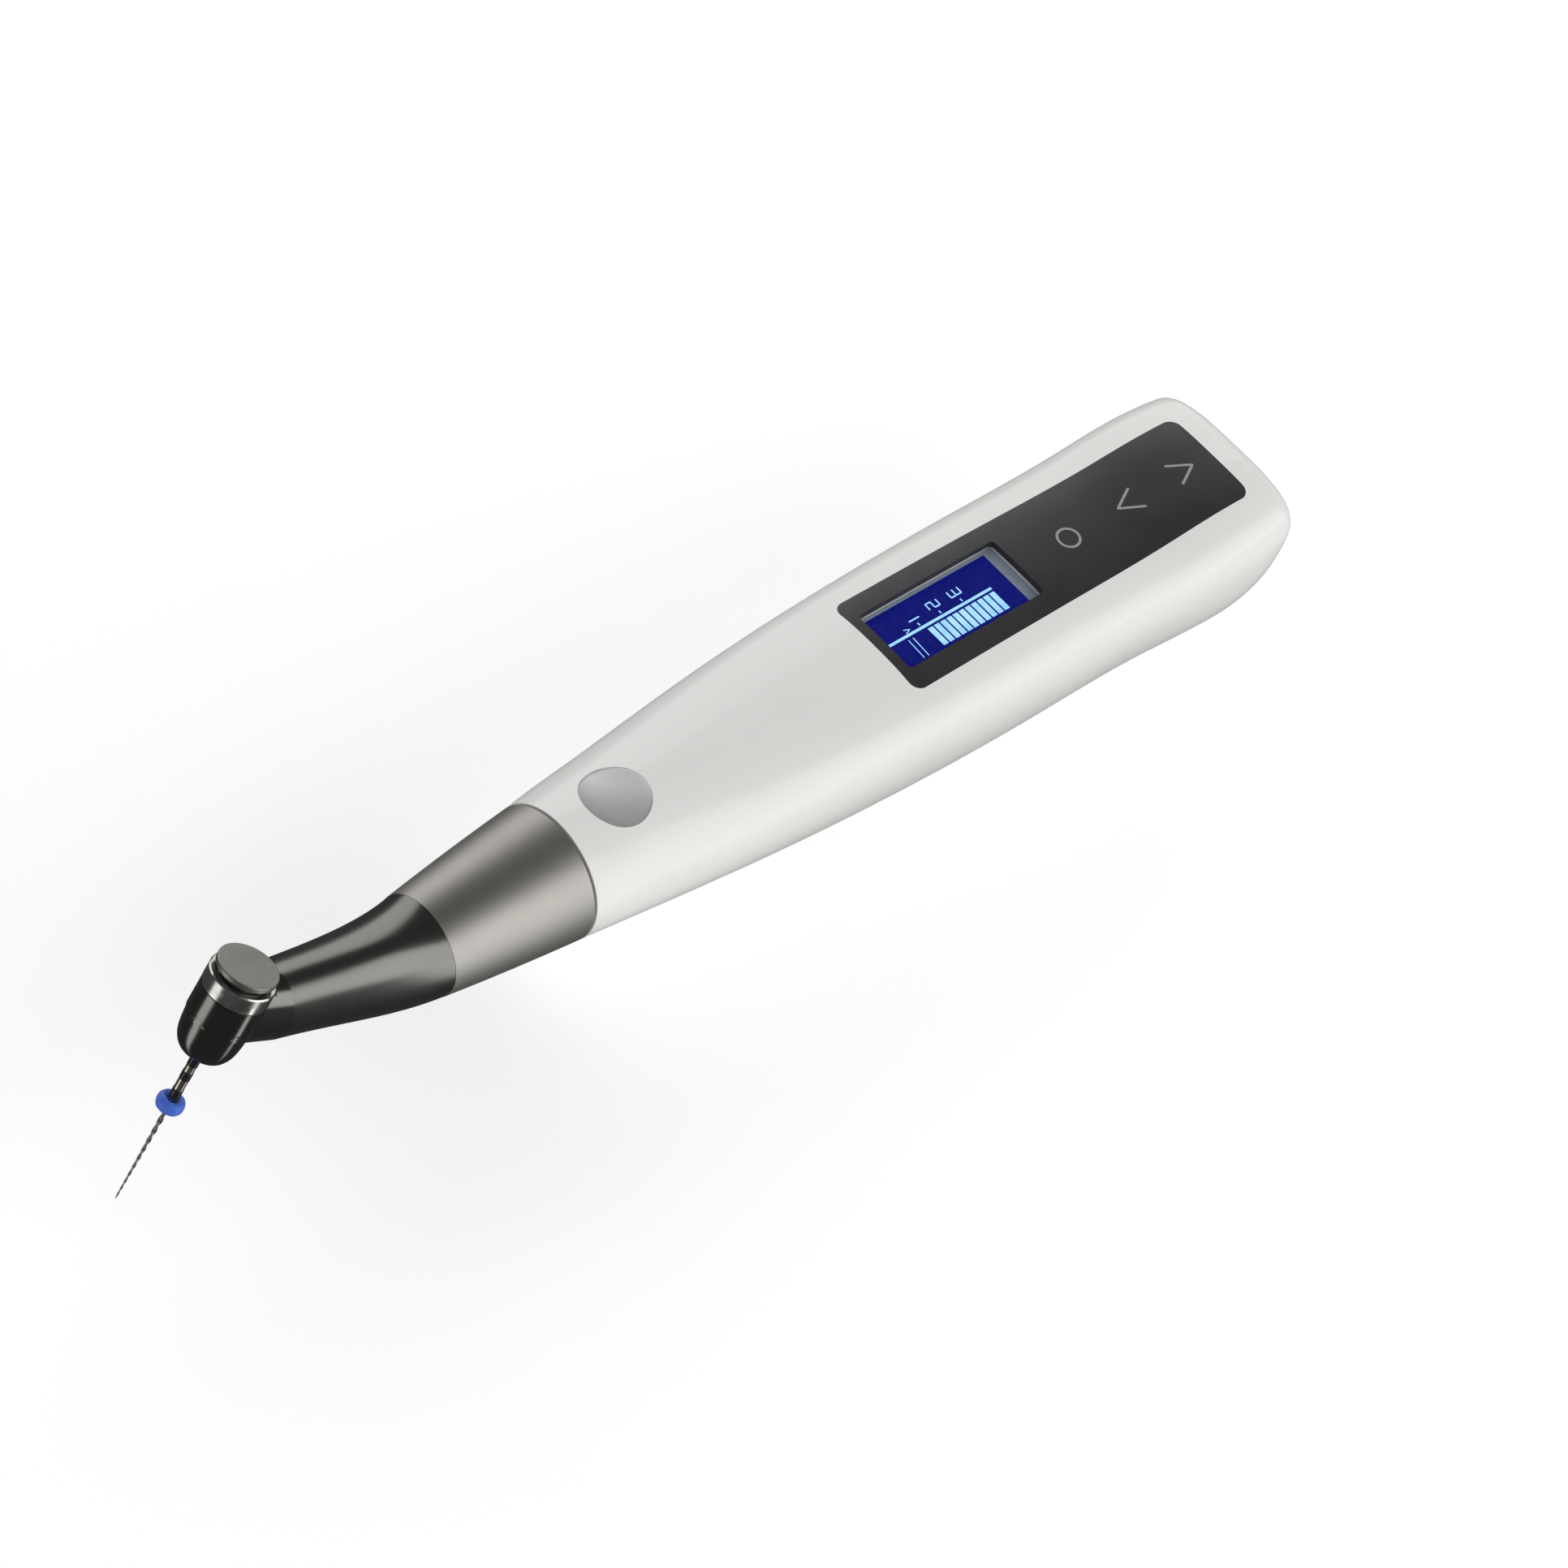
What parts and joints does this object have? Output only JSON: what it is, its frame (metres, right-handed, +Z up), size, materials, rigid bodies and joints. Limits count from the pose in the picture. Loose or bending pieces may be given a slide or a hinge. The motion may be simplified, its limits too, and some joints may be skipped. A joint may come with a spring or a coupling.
{
  "type": "apex locator handpiece",
  "caption": "Cordless pen-shaped root-canal handpiece with a built-in apex locator display, a slim detachable contra-angle head and a fine file with a sliding stopper.",
  "frame": {"origin": "middle of the flat of the belly that the handpiece lies on, under the display", "axes": "+Z up through the display, +X from the file towards the tail, +Y to the left of someone looking from the tail to the head"},
  "size_m": [0.2109, 0.0315, 0.0436],
  "materials": {
    "housing_white": "satin-gloss moulded plastic, warm white",
    "panel_charcoal": "satin printed overlay",
    "bezel_blue_grey": "pale blue-grey moulding",
    "display": "lit navy display",
    "clear_window": "clear polycarbonate",
    "button_grey": "soft-touch grey",
    "key_silicone": "silicone plungers",
    "circuit_green": "solder-masked board",
    "component_black": "moulded packages",
    "inner_plastic": "glass-filled inner moulding",
    "cell_wrap": "shrink-wrapped cell",
    "steel": "turned stainless steel",
    "screw_steel": "passivated steel",
    "gear_steel": "hardened gear steel",
    "motor_steel": "drawn motor can",
    "copper_winding": "enamelled copper wire",
    "magnet": "bonded magnet",
    "contact_brass": "gold-plated contact",
    "seal_rubber": "nitrile seal",
    "sleeve_grey": "fine blasted grey metal",
    "black_chrome": "polished black plating",
    "band_metal": "polished dark ring",
    "cap_grey": "satin warm grey disc",
    "file_brass": "plated shank",
    "band_black": "depth marks",
    "file_steel": "nickel-titanium",
    "stopper_blue": "silicone"
  },
  "bodies": {
    "handpiece": {"housing_shell": "housing_white", "belly_cover": "housing_white", "cover_screws": "screw_steel", "control_panel": "panel_charcoal", "display_bezel": "bezel_blue_grey", "display_module": "display", "display_window": "clear_window", "main_board": "circuit_green", "board_components": "component_black", "key_switches": "component_black", "board_screws": "screw_steel", "battery_cell": "cell_wrap", "battery_contacts": "contact_brass", "battery_holder": "inner_plastic", "probe_socket": "steel", "socket_block": "inner_plastic", "charge_contacts": "contact_brass", "power_switch": "component_black", "nose_spigot": "steel", "nose_o_ring": "seal_rubber", "nose_contact": "contact_brass", "output_bearing": "steel", "gear_ring": "gear_steel", "motor_cradle": "inner_plastic", "motor_can": "motor_steel", "stator_coil": "copper_winding", "motor_bearings": "steel"},
    "power_button": {"power_button": "button_grey"},
    "key_select": {"key_select": "key_silicone"},
    "key_down": {"key_down": "key_silicone"},
    "key_up": {"key_up": "key_silicone"},
    "rotor": {"motor_rotor": "gear_steel", "rotor_magnet": "magnet"},
    "carrier": {"planet_carrier": "gear_steel"},
    "planet_1": {"planet_gear_1": "gear_steel"},
    "planet_2": {"planet_gear_2": "gear_steel"},
    "planet_3": {"planet_gear_3": "gear_steel"},
    "coupling": {"latch_bush": "steel", "latch_ring": "screw_steel"},
    "contra_angle": {"sleeve": "sleeve_grey", "neck_shell": "black_chrome", "head_housing": "black_chrome", "head_band": "band_metal", "rear_bearings": "steel", "neck_bearings": "steel", "spindle_bearings": "steel", "cap_spring": "steel"},
    "rear_shaft": {"rear_shaft": "gear_steel"},
    "neck_shaft": {"neck_shaft": "gear_steel"},
    "spindle": {"spindle": "gear_steel", "chuck_latch": "steel"},
    "file": {"file_shank": "file_brass", "shank_bands": "band_black", "file_blade": "file_steel"},
    "stopper": {"stopper": "stopper_blue"},
    "push_cap": {"push_cap": "cap_grey"}
  },
  "joints": [
    {"name": "power_press", "type": "slide", "parent": "handpiece", "child": "power_button", "axis": [0, 0, -1], "range_m": [0, 0.0007], "stiffness_N_per_m": 1500},
    {"name": "select_press", "type": "slide", "parent": "handpiece", "child": "key_select", "axis": [0, 0, -1], "range_m": [0, 0.0003], "stiffness_N_per_m": 2000},
    {"name": "down_press", "type": "slide", "parent": "handpiece", "child": "key_down", "axis": [0, 0, -1], "range_m": [0, 0.0003], "stiffness_N_per_m": 2000},
    {"name": "up_press", "type": "slide", "parent": "handpiece", "child": "key_up", "axis": [0, 0, -1], "range_m": [0, 0.0003], "stiffness_N_per_m": 2000},
    {"name": "motor_spin", "type": "hinge", "parent": "handpiece", "child": "rotor", "pos_m": [-0.048, 0, 0.0218], "axis": [1, 0, 0], "continuous": true},
    {"name": "carrier_spin", "type": "hinge", "parent": "handpiece", "child": "carrier", "pos_m": [-0.072, 0, 0.0218], "axis": [1, 0, 0], "continuous": true},
    {"name": "planet_1_spin", "type": "hinge", "parent": "carrier", "child": "planet_1", "pos_m": [-0.0665, 0.0042, 0.0218], "axis": [1, 0, 0], "continuous": true},
    {"name": "planet_2_spin", "type": "hinge", "parent": "carrier", "child": "planet_2", "pos_m": [-0.0665, -0.0021, 0.02544], "axis": [1, 0, 0], "continuous": true},
    {"name": "planet_3_spin", "type": "hinge", "parent": "carrier", "child": "planet_3", "pos_m": [-0.0665, -0.0021, 0.01816], "axis": [1, 0, 0], "continuous": true},
    {"name": "contra_pull", "type": "slide", "parent": "handpiece", "child": "coupling", "axis": [-1, 0, 0], "range_m": [0, 0.03]},
    {"name": "contra_swivel", "type": "hinge", "parent": "coupling", "child": "contra_angle", "pos_m": [-0.101, 0, 0.0218], "axis": [1, 0, 0], "range_deg": [-60, 60]},
    {"name": "rear_shaft_spin", "type": "hinge", "parent": "contra_angle", "child": "rear_shaft", "pos_m": [-0.107, 0, 0.0218], "axis": [1, 0, 0], "continuous": true},
    {"name": "neck_shaft_spin", "type": "hinge", "parent": "contra_angle", "child": "neck_shaft", "pos_m": [-0.119, 0, 0.0218], "axis": [0.9397, 0, -0.342], "continuous": true},
    {"name": "spindle_spin", "type": "hinge", "parent": "contra_angle", "child": "spindle", "pos_m": [-0.15394, 0, 0.03452], "axis": [-0.342, 0, -0.9397], "continuous": true},
    {"name": "file_release", "type": "slide", "parent": "spindle", "child": "file", "axis": [-0.342, 0, -0.9397], "range_m": [0, 0.014]},
    {"name": "stopper_slide", "type": "slide", "parent": "file", "child": "stopper", "axis": [-0.342, 0, -0.9397], "range_m": [0, 0.012]},
    {"name": "cap_press", "type": "slide", "parent": "contra_angle", "child": "push_cap", "axis": [-0.342, 0, -0.9397], "range_m": [0, 0.0008], "stiffness_N_per_m": 3000, "deforming": ["cap_spring"]}
  ],
  "couplings": [
    {"joint": "carrier_spin", "follows": "motor_spin", "ratio": 0.25},
    {"joint": "planet_1_spin", "follows": "motor_spin", "ratio": -0.75},
    {"joint": "planet_2_spin", "follows": "motor_spin", "ratio": -0.75},
    {"joint": "planet_3_spin", "follows": "motor_spin", "ratio": -0.75},
    {"joint": "rear_shaft_spin", "follows": "motor_spin", "ratio": 0.25},
    {"joint": "neck_shaft_spin", "follows": "motor_spin", "ratio": 0.25},
    {"joint": "spindle_spin", "follows": "motor_spin", "ratio": 0.25}
  ]
}
